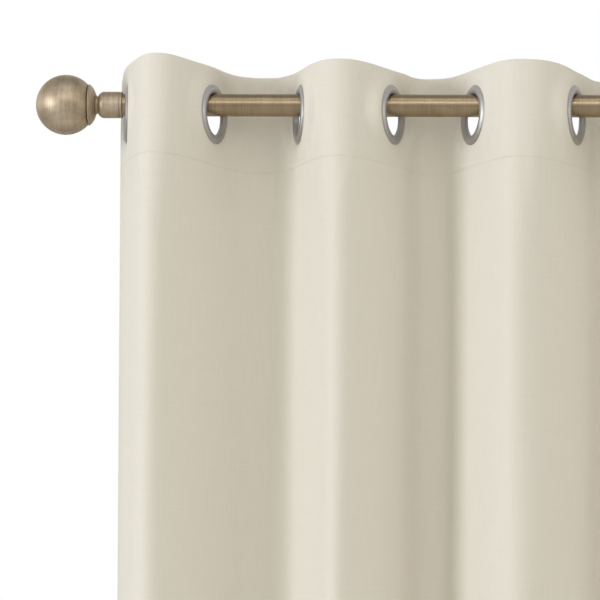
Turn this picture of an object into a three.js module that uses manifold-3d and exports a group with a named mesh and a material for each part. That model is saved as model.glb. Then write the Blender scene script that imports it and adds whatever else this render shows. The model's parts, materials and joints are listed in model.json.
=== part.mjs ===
// A pair of grommet-top window curtains on a telescoping rod, held by three wall brackets.
// Millimetres, +Z up, +X to the right, the wall is the plane y = 0 and the room lies towards -Y.
// The origin is the centre of the middle bracket's back face, on the wall.
//
// The rod is two tubes, one sliding in the other, with an end cap and a ball finial at each end.
// Each panel hangs on eight grommets. It is modelled as eight sections, each one running from a
// fold crest, across the rod at its grommet, to the next crest, so that the panel draws like a
// zigzag: the sections turn about the vertical lines of the crests.

import * as THREE from "three";
import { mergeVertices } from "three/addons/utils/BufferGeometryUtils.js";
import Module from "manifold-3d";

const wasm = await Module();
wasm.setup();

// ---- rod -------------------------------------------------------------------
const ROD_Y = -90; // projection of the rod's axis from the wall
const ROD_Z = 15; // height of the rod's axis over the middle bracket's centre
const OUTER_R = 11; // outer tube, 22 mm
const OUTER_BORE_R = 9.85;
const INNER_R = 9.5; // inner tube, 19 mm
const INNER_BORE_R = 8.5;
const OUTER_TUBE_L = 1219;
const INNER_TUBE_L = 1219;

// ---- panels ----------------------------------------------------------------
const PANEL_DROP = 1600; // 63 in from the top edge to the hem
const TOP_OVER_ROD = 36.5; // top edge over the rod's axis
const CLOTH_T = 1.6; // thickness of the closed solid that stands for the cloth
const CREST_GAP = 0.8; // each section stops this far short of the crest's line
const FLAT_HALF = 30; // the cloth is flat this far either side of a grommet
const GROMMET_DROP = 8.5; // grommet centre under the rod's axis: it hangs on the rod
const HOLE_R = 26.0; // hole in the cloth for the grommet's barrel
const EDGE_TURN = 0.3; // how far the cloth turns between the last grommet and the side edge, rad
const EDGE_L = 55; // cloth from the last grommet's centre to the side edge

// Spacing of the grommets on the rod, the depth of each crest from the rod's axis, and the angle
// at which each section crosses the rod. Section 1 is at the outer end. Both panels are written as
// a left panel, and the right one is mirrored.
const LEFT = {
  outer: -638.0,
  spacing: [84.5, 83.9, 90.5, 78.6, 99.2, 86.0, 88.3],
  crest: [58.0, 38.5, 45.0, 43.5, 39.0, 42.0, 40.5],
  angle: [83.0, 70.0, 77.0, 70.5, 66.0, 74.0, 73.0, 72.0],
};
const RIGHT = {
  outer: -638.0,
  spacing: [83.0, 89.0, 87.0, 84.0, 91.0, 87.9, 89.1],
  crest: [45.0, 40.5, 42.5, 42.5, 41.0, 42.5, 41.0],
  angle: [80.0, 71.0, 74.0, 73.0, 69.0, 74.0, 72.0, 72.0],
};

// ---- grommets --------------------------------------------------------------
const GROMMET_HOLE_R = 20.3; // 1.6 in opening
const GROMMET_PROFILE = [
  // radius, distance from the middle plane of the cloth
  [20.3, -1.8],
  [20.3, 1.8],
  [24.0, 3.4],
  [29.4, 1.15],
  [25.2, 1.15],
  [25.2, -1.15],
  [29.4, -1.15],
  [24.0, -3.4],
];

// ---- finials and end caps ---------------------------------------------------
const CAP_L = 24.2; // end cap's length over its own round shoulder
const CAP_R = 13;
const BALL_R = 29.5;
const STUD_R = 3;

// ---- brackets ---------------------------------------------------------------
const CUP_W = 8;
const ARM_W = 5;
const ARM_H = 14;
const CUP_WALL = 3;
const CUP_CLEAR = 0.4;
const PLATE_W = 30;
const PLATE_H = 66;
const PLATE_T = 3;
const WALL_SCREW_Z = 24; // wall screws over and under the plate's centre
const BRACKET_IN = 18; // end brackets stand this far inside the outermost grommets
const SET_SCREW_R = 2;

// ---- helpers ----------------------------------------------------------------
function closed(geometry) {
  // One indexed closed mesh with its faces pointing out.
  let g = geometry.clone();
  g.deleteAttribute("normal");
  g.deleteAttribute("uv");
  if (g.index) g = g.toNonIndexed();
  g = mergeVertices(g, 1e-4);
  const p = g.attributes.position.array;
  const src = g.index.array;
  const kept = [];
  let volume = 0;
  for (let i = 0; i < src.length; i += 3) {
    const [a, b, c] = [src[i], src[i + 1], src[i + 2]];
    if (a === b || b === c || a === c) continue;
    kept.push(a, b, c);
    const A = new THREE.Vector3().fromArray(p, a * 3);
    const B = new THREE.Vector3().fromArray(p, b * 3);
    const C = new THREE.Vector3().fromArray(p, c * 3);
    volume += A.dot(B.cross(C)) / 6;
  }
  if (volume < 0)
    for (let i = 0; i < kept.length; i += 3)
      [kept[i + 1], kept[i + 2]] = [kept[i + 2], kept[i + 1]];
  g.setIndex(kept);
  return g;
}

function solid(geometry) {
  const g = closed(geometry);
  return new wasm.Manifold(
    new wasm.Mesh({
      numProp: 3,
      vertProperties: new Float32Array(g.attributes.position.array),
      triVerts: new Uint32Array(g.index.array),
    }),
  );
}

function geometryOf(manifold) {
  const m = manifold.getMesh();
  const v = new Float32Array(m.numVert * 3);
  for (let i = 0; i < m.numVert; i++)
    v.set(m.vertProperties.subarray(i * m.numProp, i * m.numProp + 3), i * 3);
  const g = new THREE.BufferGeometry();
  g.setAttribute("position", new THREE.BufferAttribute(v, 3));
  g.setIndex(new THREE.BufferAttribute(new Uint32Array(m.triVerts), 1));
  g.computeVertexNormals();
  return g;
}

function lathe(profile, segments) {
  const pts = profile.map(([r, h]) => new THREE.Vector2(r, h));
  if (profile[0][0] > 0) pts.push(pts[0].clone());
  return new THREE.LatheGeometry(pts, segments);
}

// A body turned about the X axis: the profile is [radius, x].
function turnedX(profile, segments) {
  const g = lathe(profile, segments);
  g.rotateZ(-Math.PI / 2); // the lathe's +Y becomes +X
  return g;
}

function box(x0, x1, y0, y1, z0, z1) {
  const g = new THREE.BoxGeometry(x1 - x0, y1 - y0, z1 - z0);
  g.translate((x0 + x1) / 2, (y0 + y1) / 2, (z0 + z1) / 2);
  return g;
}

function cylinder(r, h, segments, axis) {
  const g = new THREE.CylinderGeometry(r, r, h, segments);
  if (axis === "z") g.rotateX(Math.PI / 2);
  if (axis === "x") g.rotateZ(-Math.PI / 2);
  return g;
}

const brass = new THREE.MeshStandardMaterial({ color: 0x8f7a5a, roughness: 0.38, metalness: 1 });
const brassDark = new THREE.MeshStandardMaterial({ color: 0x6f5d44, roughness: 0.45, metalness: 1 });
const nickel = new THREE.MeshStandardMaterial({ color: 0xb9b4b2, roughness: 0.32, metalness: 1 });
const cloth = new THREE.MeshStandardMaterial({ color: 0xd9d4c4, roughness: 0.9, metalness: 0 });

const curtains = new THREE.Group();
function add(name, geometry, material, parent = curtains) {
  const mesh = new THREE.Mesh(geometry, material);
  mesh.name = name;
  parent.add(mesh);
  return mesh;
}

// ---- one panel's plan --------------------------------------------------------
// Points of a half section from its grommet at (0, 0) to (a, b), both positive: flat past the
// grommet, then curving until it runs along the rod at the crest.
function halfToCrest(a, b, angle, steps) {
  const c = Math.cos(angle), s = Math.sin(angle);
  const p0 = [FLAT_HALF * c, FLAT_HALF * s];
  const d = Math.hypot(a - p0[0], b - p0[1]);
  const p1 = [p0[0] + 0.42 * d * c, p0[1] + 0.42 * d * s];
  const p2 = [a - 0.5 * d, b];
  const out = [[0, 0], p0];
  for (let i = 1; i <= steps; i++) {
    const t = i / steps, u = 1 - t;
    const w = [u * u * u, 3 * u * u * t, 3 * u * t * t, t * t * t];
    out.push([
      w[0] * p0[0] + w[1] * p1[0] + w[2] * p2[0] + w[3] * a,
      w[0] * p0[1] + w[1] * p1[1] + w[2] * p2[1] + w[3] * b,
    ]);
  }
  return out;
}

// Points of the free half section from the last grommet to the panel's side edge.
function halfToEdge(angle, steps) {
  const out = [[0, 0], [FLAT_HALF * Math.cos(angle), FLAT_HALF * Math.sin(angle)]];
  const step = (EDGE_L - FLAT_HALF) / steps;
  for (let i = 0; i < steps; i++) {
    const at = angle - (EDGE_TURN * (i + 0.5)) / steps;
    const [x, y] = out[out.length - 1];
    out.push([x + step * Math.cos(at), y + step * Math.sin(at)]);
  }
  return out;
}

// Pulls a polyline's last point back by some distance.
function shortened(points, by) {
  const n = points.length;
  const [x1, y1] = points[n - 1], [x0, y0] = points[n - 2];
  const d = Math.hypot(x1 - x0, y1 - y0);
  return [...points.slice(0, n - 1), [x1 - ((x1 - x0) * by) / d, y1 - ((y1 - y0) * by) / d]];
}

function sectionsOf(panel) {
  const found = [];
  let gx = panel.outer;
  for (let k = 0; k < 8; k++) {
    if (k) gx += panel.spacing[k - 1];
    const angle = (panel.angle[k] * Math.PI) / 180;
    const forward = k % 2 ? 1 : -1; // where the right half goes: section 1's runs to the front, -Y
    const left =
      k === 0
        ? halfToEdge(angle, 2)
        : shortened(halfToCrest(panel.spacing[k - 1] / 2, panel.crest[k - 1], angle, 4), CREST_GAP);
    const right =
      k === 7
        ? halfToEdge(angle, 2)
        : shortened(halfToCrest(panel.spacing[k] / 2, panel.crest[k], angle, 4), CREST_GAP);
    const line = [
      ...left.slice(1).reverse().map(([x, y]) => [gx - x, ROD_Y - forward * y]),
      ...right.slice(1).map(([x, y]) => [gx + x, ROD_Y + forward * y]),
    ];
    found.push({ gx, angle: forward * angle, line });
  }
  return found;
}

// A thin wall that follows a polyline in plan, from z0 up to z1.
function wallAlong(line, thickness, z0, z1) {
  const n = line.length;
  const side = (sign) =>
    line.map(([x, y], i) => {
      const a = line[Math.max(i - 1, 0)], b = line[i], c = line[Math.min(i + 1, n - 1)];
      const d1 = i > 0 ? [b[0] - a[0], b[1] - a[1]] : [c[0] - b[0], c[1] - b[1]];
      const d2 = i < n - 1 ? [c[0] - b[0], c[1] - b[1]] : d1;
      const l1 = Math.hypot(...d1), l2 = Math.hypot(...d2);
      let nx = -(d1[1] / l1 + d2[1] / l2), ny = d1[0] / l1 + d2[0] / l2;
      const l = Math.hypot(nx, ny);
      nx /= l;
      ny /= l;
      const grow = 1 / Math.max(0.5, (nx * -d1[1] + ny * d1[0]) / l1);
      return [x + (sign * thickness * grow * nx) / 2, y + (sign * thickness * grow * ny) / 2];
    });
  const outline = [...side(1), ...side(-1).reverse()];
  const shape = new THREE.Shape(outline.map(([x, y]) => new THREE.Vector2(x, y)));
  const g = new THREE.ExtrudeGeometry(shape, { depth: z1 - z0, bevelEnabled: false, curveSegments: 1 });
  g.translate(0, 0, z0);
  return g;
}

function mirrored(geometry) {
  const g = closed(geometry);
  g.scale(-1, 1, 1);
  const i = g.index.array;
  for (let k = 0; k < i.length; k += 3) [i[k + 1], i[k + 2]] = [i[k + 2], i[k + 1]];
  return g;
}

function panel(side, description) {
  const flip = side === "right";
  const group = new THREE.Group();
  const grommetZ = ROD_Z - GROMMET_DROP;
  sectionsOf(description).forEach(({ gx, angle, line }, k) => {
    const z1 = ROD_Z + TOP_OVER_ROD;
    let wall = solid(wallAlong(line, CLOTH_T, z1 - PANEL_DROP, z1));
    const punch = cylinder(HOLE_R, 20, 16, "y");
    punch.rotateY(Math.PI / 16);
    punch.rotateZ(angle); // the punch's axis is the cloth's normal
    punch.translate(gx, ROD_Y, grommetZ);
    wall = wall.subtract(solid(punch));
    let clothGeometry = geometryOf(wall);

    const ring = lathe(GROMMET_PROFILE, 16);
    ring.rotateY(Math.PI / 16);
    ring.rotateZ(angle);
    ring.translate(gx, ROD_Y, grommetZ);
    let ringGeometry = closed(ring);
    if (flip) {
      clothGeometry = mirrored(clothGeometry);
      ringGeometry = mirrored(ringGeometry);
    }
    add(side + "_curtain_section_" + (k + 1), clothGeometry, cloth, group);
    add(side + "_grommet_" + (k + 1), ringGeometry, nickel, group);
  });
  curtains.add(group);
}

panel("left", LEFT);
panel("right", RIGHT);

// ---- rod, end caps and finials ------------------------------------------------
const CAP_FACE = LEFT.outer - 4.8; // inner end of the left end cap
const TUBE_IN_CAP = 18; // tube end inside the cap
const rod = new THREE.Group();
rod.position.set(0, ROD_Y, ROD_Z);
curtains.add(rod);

function tube(x0, x1, r, bore, segments) {
  return closed(turnedX([[bore, x0], [r, x0], [r, x1], [bore, x1]], segments));
}
const outerStart = CAP_FACE - TUBE_IN_CAP;
const innerEnd = -outerStart;
add("outer_rod_tube", tube(outerStart, outerStart + OUTER_TUBE_L, OUTER_R, OUTER_BORE_R, 24), brass, rod);
add("inner_rod_tube", tube(innerEnd - INNER_TUBE_L, innerEnd, INNER_R, INNER_BORE_R, 24), brass, rod);

// The finial is written for the left end, with x measured from the cap's inner face towards -X,
// and mirrored for the right end.
const CAP_END = CAP_L; // outer end of the cap, at its neck
function endCap(boreR) {
  // A cup over the tube, with a round shoulder and a threaded hole for the finial's stud.
  return turnedX(
    [
      [boreR, 0],
      [CAP_R, 0],
      [CAP_R, -(CAP_END - 5)],
      [CAP_R - 1.1, -(CAP_END - 2.4)],
      [CAP_R - 3.6, -CAP_END],
      [STUD_R + 0.3, -CAP_END],
      [STUD_R + 0.3, -(CAP_END - 4.5)],
      [boreR, -(CAP_END - 4.5)],
    ],
    20,
  );
}
const NECK_END = CAP_END + 0.3 + 2.3; // neck ring between cap and base
const BASE_END = NECK_END + 7.8; // rim of the flared base, where it meets the ball
function finialBase() {
  // A neck ring and a flared cup, bored for the stud.
  return turnedX(
    [
      [STUD_R + 0.3, -(CAP_END + 0.3)],
      [9.1, -(CAP_END + 0.3)],
      [9.1, -(NECK_END - 0.2)],
      [12.4, -(NECK_END + 1.4)],
      [17.6, -(BASE_END - 3.0)],
      [20.2, -(BASE_END - 0.9)],
      [20.2, -BASE_END],
      [STUD_R + 0.3, -BASE_END],
    ],
    20,
  );
}
const BALL_FLAT = Math.sqrt(BALL_R ** 2 - 20.6 ** 2); // where the ball is cut for the base
const BALL_X = BASE_END + 0.6 + BALL_FLAT;
function finialBall() {
  // A ball cut flat where it meets the base, with a blind hole for the stud.
  const profile = [[0, -(BALL_X + BALL_R)]];
  const from = Math.PI, to = Math.asin(20.6 / BALL_R);
  const steps = 9;
  for (let i = 1; i <= steps; i++) {
    const t = from + ((to - from) * i) / steps;
    profile.push([BALL_R * Math.sin(t), -(BALL_X - BALL_R * Math.cos(t))]);
  }
  profile.push([STUD_R + 0.3, -(BASE_END + 0.6)]);
  profile.push([STUD_R + 0.3, -(BASE_END + 12)]);
  profile.push([0, -(BASE_END + 12)]);
  return turnedX(profile, 20);
}
function stud() {
  return turnedX([[0, -(CAP_END - 7)], [STUD_R, -(CAP_END - 7)], [STUD_R, -(BASE_END + 11.6)], [0, -(BASE_END + 11.6)]], 12);
}
for (const side of ["left", "right"]) {
  const place = (g) => {
    const made = closed(g);
    made.translate(CAP_FACE, 0, 0);
    return side === "right" ? mirrored(made) : made;
  };
  const boreR = (side === "left" ? OUTER_R : INNER_R) + 0.3;
  add(side + "_end_cap", place(endCap(boreR)), brass, rod);
  add(side + "_finial_base", place(finialBase()), brass, rod);
  add(side + "_finial_ball", place(finialBall()), brass, rod);
  add(side + "_finial_stud", place(stud()), brassDark, rod);
}

// ---- brackets -------------------------------------------------------------------
function bracket(side, x, rodR) {
  const cupR = rodR + CUP_CLEAR, outR = OUTER_R + CUP_CLEAR + CUP_WALL;
  // wall plate, with a slot for the arm and two screw holes
  let plate = solid(box(x - PLATE_W / 2, x + PLATE_W / 2, -PLATE_T, 0, -PLATE_H / 2, PLATE_H / 2));
  const armZ = ROD_Z - 5; // middle of the arm
  const slot = box(x - ARM_W / 2 - 0.3, x + ARM_W / 2 + 0.3, -PLATE_T - 1, -1, armZ - ARM_H / 2 - 0.3, armZ + ARM_H / 2 + 0.3);
  plate = plate.subtract(solid(slot));
  for (const dz of [-WALL_SCREW_Z, WALL_SCREW_Z]) {
    const hole = cylinder(2.6, 10, 12, "y");
    hole.translate(x, 0, dz);
    plate = plate.subtract(solid(hole));
  }
  add(side + "_wall_plate", geometryOf(plate), brass);

  // arm with the open cup that the rod lies in
  const shape = new THREE.Shape();
  const rise = 5;
  const steps = 10;
  shape.moveTo(-outR, rise);
  for (let i = 0; i <= steps; i++) {
    const t = Math.PI + (Math.PI * i) / steps;
    shape.lineTo(outR * Math.cos(t), outR * Math.sin(t));
  }
  shape.lineTo(outR, rise);
  shape.lineTo(cupR, rise);
  for (let i = 0; i <= steps; i++) {
    const t = 2 * Math.PI - (Math.PI * i) / steps;
    shape.lineTo(cupR * Math.cos(t), cupR * Math.sin(t));
  }
  shape.lineTo(-cupR, rise);
  const cup = new THREE.ExtrudeGeometry(shape, { depth: CUP_W, bevelEnabled: false, curveSegments: 1 });
  cup.translate(0, 0, -CUP_W / 2);
  cup.rotateX(Math.PI / 2); // the shape's up becomes +Z
  cup.rotateZ(Math.PI / 2); // its width lies along Y and its depth along X
  cup.translate(x, ROD_Y, ROD_Z);
  const arm = box(x - ARM_W / 2, x + ARM_W / 2, ROD_Y + outR - 1.4, -1.3, armZ - ARM_H / 2, armZ + ARM_H / 2);
  let body = solid(cup).add(solid(arm));
  const thread = cylinder(SET_SCREW_R + 0.3, 12, 12, "z");
  thread.translate(x, ROD_Y, ROD_Z - outR);
  body = body.subtract(solid(thread));
  add(side + "_bracket_arm", geometryOf(body), brass);

  // thumb screw under the cup, its tip just short of the rod
  const tip = ROD_Z - rodR - 0.35;
  const seat = ROD_Z - outR - 1.6;
  const screw = lathe(
    [
      [0, tip],
      [SET_SCREW_R, tip],
      [SET_SCREW_R, seat],
      [4.2, seat],
      [4.6, seat - 0.6],
      [4.6, seat - 5.4],
      [4.0, seat - 6.4],
      [0, seat - 6.4],
    ],
    12,
  );
  screw.rotateX(Math.PI / 2);
  screw.translate(x, ROD_Y, 0);
  add(side + "_set_screw", closed(screw), brassDark);

  // wall screws: a domed head on the plate and a short plain shank in its hole, flush with the wall
  for (const [which, dz] of [["upper", WALL_SCREW_Z], ["lower", -WALL_SCREW_Z]]) {
    const s = lathe([[0, 0.2], [2.2, 0.2], [2.2, 3.3], [4.3, 3.3], [4.0, 4.6], [2.4, 5.5], [0, 5.7]], 12);
    s.rotateX(Math.PI); // the head points to the room, -Y
    s.translate(x, 0, dz);
    add(side + "_" + which + "_wall_screw", closed(s), brassDark);
  }
}
bracket("left", LEFT.outer + BRACKET_IN, OUTER_R);
bracket("centre", 0, OUTER_R);
bracket("right", -RIGHT.outer - BRACKET_IN, INNER_R);

export default curtains;
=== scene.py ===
import json
import math

import bmesh
import bpy
import numpy as np
from mathutils import Matrix, Vector


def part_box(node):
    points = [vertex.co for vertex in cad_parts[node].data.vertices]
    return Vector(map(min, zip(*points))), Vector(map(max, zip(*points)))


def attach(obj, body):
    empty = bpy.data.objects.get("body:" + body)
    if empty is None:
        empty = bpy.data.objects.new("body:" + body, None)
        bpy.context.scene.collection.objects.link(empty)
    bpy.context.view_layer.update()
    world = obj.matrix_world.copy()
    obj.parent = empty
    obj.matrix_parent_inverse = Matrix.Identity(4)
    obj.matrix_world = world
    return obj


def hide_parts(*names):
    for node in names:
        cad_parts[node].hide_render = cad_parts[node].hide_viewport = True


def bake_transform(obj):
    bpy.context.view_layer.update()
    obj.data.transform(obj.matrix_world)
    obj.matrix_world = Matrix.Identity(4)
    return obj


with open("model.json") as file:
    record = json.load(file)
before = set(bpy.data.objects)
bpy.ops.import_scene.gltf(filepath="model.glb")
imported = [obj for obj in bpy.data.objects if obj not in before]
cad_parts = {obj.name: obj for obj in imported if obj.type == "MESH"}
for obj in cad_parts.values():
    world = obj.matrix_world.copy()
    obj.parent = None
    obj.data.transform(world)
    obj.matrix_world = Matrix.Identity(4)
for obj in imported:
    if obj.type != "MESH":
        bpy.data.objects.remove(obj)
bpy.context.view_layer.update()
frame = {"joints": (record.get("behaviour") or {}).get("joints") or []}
JOINT = {j["name"]: j for j in frame["joints"]}

# ---------------------------------------------------------------- sizes, in metres
MM = 0.001
ROD_LO, ROD_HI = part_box("outer_rod_tube")
ROD_Y = (ROD_LO.y + ROD_HI.y) / 2
ROD_Z = (ROD_LO.z + ROD_HI.z) / 2
ROD_R = 11 * MM
INNER_R = 9.5 * MM
CLOTH_LO, CLOTH_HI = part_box("left_curtain_section_3")
TOP_Z = CLOTH_HI.z - 0.5 * MM
DROP = CLOTH_HI.z - CLOTH_LO.z
HOLE_R = 20.32 * MM
RING_Z = ROD_Z - (HOLE_R - ROD_R) + 0.05 * MM  # the ring hangs on the rod
V_RING = TOP_Z - RING_Z
FLAT_HALF = 30 * MM
SQUARE = 34 * MM  # half side of the patch round each grommet hole
EDGE_L = 55 * MM
EDGE_TURN = 0.3
HEADER = 98 * MM  # depth of the header band
HEM = 78 * MM  # depth of the bottom hem
SIDE_HEM = 20 * MM
ANGLES = {
    "left": [83.0, 70.0, 77.0, 70.5, 66.0, 74.0, 73.0, 72.0],
    "right": [80.0, 71.0, 74.0, 73.0, 69.0, 74.0, 72.0, 72.0],
}
SHEAR = 0.0100  # how far a panel drifts inwards for each metre it drops
TAPER = 0.023  # share of its width that a panel loses for each metre it drops

# ---------------------------------------------------------------- node helpers


def new_material(name):
    m = bpy.data.materials.new(name)
    m.use_nodes = True
    nt = m.node_tree
    for n in list(nt.nodes):
        nt.nodes.remove(n)
    out = nt.nodes.new("ShaderNodeOutputMaterial")
    bsdf = nt.nodes.new("ShaderNodeBsdfPrincipled")
    nt.links.new(bsdf.outputs["BSDF"], out.inputs["Surface"])
    return m, nt, bsdf


def put(socket, value):
    if isinstance(value, bpy.types.NodeSocket):
        socket.id_data.links.new(value, socket)
    else:
        socket.default_value = value


def math_node(nt, op, a, b=0.0, c=0.0, clamp=False):
    n = nt.nodes.new("ShaderNodeMath")
    n.operation = op
    n.use_clamp = clamp
    put(n.inputs[0], a)
    put(n.inputs[1], b)
    put(n.inputs[2], c)
    return n.outputs[0]


def scaled(nt, vector, scale):
    n = nt.nodes.new("ShaderNodeVectorMath")
    n.operation = "MULTIPLY"
    put(n.inputs[0], vector)
    n.inputs[1].default_value = scale
    return n.outputs[0]


def noise(nt, vector, scale=1.0, detail=2.0, rough=0.5):
    n = nt.nodes.new("ShaderNodeTexNoise")
    put(n.inputs["Vector"], vector)
    n.inputs["Scale"].default_value = scale
    n.inputs["Detail"].default_value = detail
    n.inputs["Roughness"].default_value = rough
    return n.outputs["Fac"]


def ramp(nt, fac, stops):
    n = nt.nodes.new("ShaderNodeValToRGB")
    e = n.color_ramp.elements
    while len(e) < len(stops):
        e.new(0.5)
    for el, (p, c) in zip(e, stops):
        el.position = p
        el.color = (*c, 1.0) if len(c) == 3 else c
    put(n.inputs["Fac"], fac)
    return n.outputs["Color"]


def mix_color(nt, fac, a, b, blend="MIX"):
    n = nt.nodes.new("ShaderNodeMix")
    n.data_type = "RGBA"
    n.blend_type = blend
    put(n.inputs[0], fac)
    put(n.inputs[6], a if isinstance(a, bpy.types.NodeSocket) else (*a, 1.0))
    put(n.inputs[7], b if isinstance(b, bpy.types.NodeSocket) else (*b, 1.0))
    return n.outputs[2]


def attribute(nt, name):
    n = nt.nodes.new("ShaderNodeAttribute")
    n.attribute_name = name
    return n.outputs["Vector"]


def bump(nt, height, strength, distance, normal=None):
    n = nt.nodes.new("ShaderNodeBump")
    n.inputs["Strength"].default_value = strength
    n.inputs["Distance"].default_value = distance
    put(n.inputs["Height"], height)
    if normal is not None:
        put(n.inputs["Normal"], normal)
    return n.outputs["Normal"]


# ---------------------------------------------------------------- materials


def cloth_material():
    m, nt, b = new_material("cream_cloth")
    flat = attribute(nt, "flat")
    sep = nt.nodes.new("ShaderNodeSeparateXYZ")
    put(sep.inputs[0], flat)
    u, v = sep.outputs[0], sep.outputs[1]
    pitch = 0.00062
    wu = math_node(nt, "SINE", math_node(nt, "MULTIPLY", u, 2 * math.pi / pitch))
    wv = math_node(nt, "SINE", math_node(nt, "MULTIPLY", v, 2 * math.pi / pitch))
    weave = math_node(nt, "MULTIPLY_ADD", math_node(nt, "MULTIPLY", wu, wv), 0.5, 0.5)
    warp = noise(nt, scaled(nt, flat, (1300, 22, 1)), 1.0, 3.0, 0.6)
    weft = noise(nt, scaled(nt, flat, (26, 1100, 1)), 1.0, 3.0, 0.6)
    slub = math_node(nt, "ADD", math_node(nt, "MULTIPLY", warp, 0.55), math_node(nt, "MULTIPLY", weft, 0.45))
    cloud = noise(nt, scaled(nt, flat, (5, 4, 1)), 1.0, 3.0, 0.55)
    base = ramp(nt, slub, [(0.30, (0.690, 0.648, 0.556)), (0.5, (0.730, 0.690, 0.600)), (0.72, (0.765, 0.730, 0.645))])
    tint = mix_color(nt, math_node(nt, "MULTIPLY", cloud, 0.55), base, (0.730, 0.690, 0.585))
    dark = math_node(nt, "MULTIPLY_ADD", weave, 0.05, 0.95)
    col = mix_color(nt, 1.0, tint, nt_gray(nt, dark), "MULTIPLY")
    put(b.inputs["Base Color"], col)
    rough = math_node(nt, "MULTIPLY_ADD", slub, 0.16, 0.70)
    put(b.inputs["Roughness"], rough)
    b.inputs["Specular IOR Level"].default_value = 0.28
    b.inputs["Sheen Weight"].default_value = 0.18
    b.inputs["Sheen Roughness"].default_value = 0.45
    b.inputs["Sheen Tint"].default_value = (1.0, 0.98, 0.94, 1.0)
    n1 = bump(nt, slub, 0.35, 0.00025)
    n2 = bump(nt, weave, 0.30, 0.00010, n1)
    put(b.inputs["Normal"], n2)
    return m


def nt_gray(nt, value):
    n = nt.nodes.new("ShaderNodeCombineColor")
    for i in range(3):
        put(n.inputs[i], value)
    return n.outputs[0]


def thread_material():
    m, nt, b = new_material("cream_thread")
    flat = attribute(nt, "flat")
    twist = nt.nodes.new("ShaderNodeTexWave")
    twist.inputs["Scale"].default_value = 1.0
    twist.inputs["Distortion"].default_value = 1.5
    put(twist.inputs["Vector"], scaled(nt, flat, (700, 500, 1)))
    col = ramp(nt, twist.outputs["Fac"], [(0.2, (0.66, 0.62, 0.52)), (0.8, (0.76, 0.72, 0.62))])
    put(b.inputs["Base Color"], col)
    b.inputs["Roughness"].default_value = 0.6
    put(b.inputs["Normal"], bump(nt, twist.outputs["Fac"], 0.4, 0.0001))
    return m


def brass_material(name, light, dark, rough_lo, rough_hi, aniso=0.0, worn=0.5):
    """Antique brass: lathe-brushed round its axis, darkened lacquer left in patches and grooves."""
    m, nt, b = new_material(name)
    br = attribute(nt, "brush")
    fine = noise(nt, scaled(nt, br, (2600, 60, 60)), 1.0, 3.0, 0.65)
    lines = noise(nt, scaled(nt, br, (700, 25, 25)), 1.0, 2.0, 0.5)
    cloud = noise(nt, scaled(nt, br, (38, 55, 55)), 1.0, 4.0, 0.6)
    speck = noise(nt, scaled(nt, br, (900, 900, 900)), 1.0, 2.0, 0.5)
    f = math_node(nt, "ADD", math_node(nt, "MULTIPLY", fine, 0.40), math_node(nt, "MULTIPLY", lines, 0.25))
    f = math_node(nt, "ADD", f, math_node(nt, "MULTIPLY", cloud, worn * 0.7))
    f = math_node(nt, "ADD", f, math_node(nt, "MULTIPLY", speck, 0.08))
    f = math_node(nt, "SUBTRACT", f, 0.365 + worn * 0.35 - 0.5)
    mid = tuple((a + c) / 2 for a, c in zip(light, dark))
    col = ramp(nt, f, [(0.30, dark), (0.50, mid), (0.72, light)])
    put(b.inputs["Base Color"], col)
    b.inputs["Metallic"].default_value = 1.0
    put(b.inputs["Roughness"], math_node(nt, "MULTIPLY_ADD", fine, rough_hi - rough_lo, rough_lo))
    b.inputs["Anisotropic"].default_value = aniso
    b.inputs["Anisotropic Rotation"].default_value = 0.25
    if aniso:
        t = nt.nodes.new("ShaderNodeTangent")
        t.direction_type = "RADIAL"
        t.axis = "X"
        put(b.inputs["Tangent"], t.outputs[0])
    n1 = bump(nt, fine, 0.18, 0.00012)
    put(b.inputs["Normal"], bump(nt, lines, 0.10, 0.0003, n1))
    return m


def nickel_material():
    m, nt, b = new_material("satin_nickel")
    br = attribute(nt, "brush")
    fine = noise(nt, scaled(nt, br, (2200, 900, 900)), 1.0, 3.0, 0.6)
    cloud = noise(nt, scaled(nt, br, (60, 60, 60)), 1.0, 3.0, 0.5)
    col = ramp(nt, cloud, [(0.3, (0.44, 0.43, 0.425)), (0.7, (0.51, 0.50, 0.495))])
    put(b.inputs["Base Color"], col)
    b.inputs["Metallic"].default_value = 1.0
    put(b.inputs["Roughness"], math_node(nt, "MULTIPLY_ADD", fine, 0.12, 0.42))
    put(b.inputs["Normal"], bump(nt, fine, 0.08, 0.00006))
    return m


CLOTH = cloth_material()
THREAD = thread_material()
BRASS = brass_material("antique_brass_rod", (0.475, 0.38, 0.26), (0.23, 0.165, 0.095), 0.26, 0.40, 0.0, 0.35)
BRASS_BALL = brass_material("antique_brass_finial", (0.66, 0.56, 0.43), (0.29, 0.21, 0.13), 0.42, 0.55, 0.35, 0.80)
BRASS_BRACKET = brass_material("antique_brass_bracket", (0.52, 0.42, 0.29), (0.30, 0.23, 0.145), 0.32, 0.46, 0.0, 0.6)
BRASS_DARK = brass_material("darkened_brass", (0.36, 0.29, 0.19), (0.16, 0.12, 0.08), 0.36, 0.50, 0.0, 0.6)
NICKEL = nickel_material()

# ---------------------------------------------------------------- mesh helpers


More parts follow.
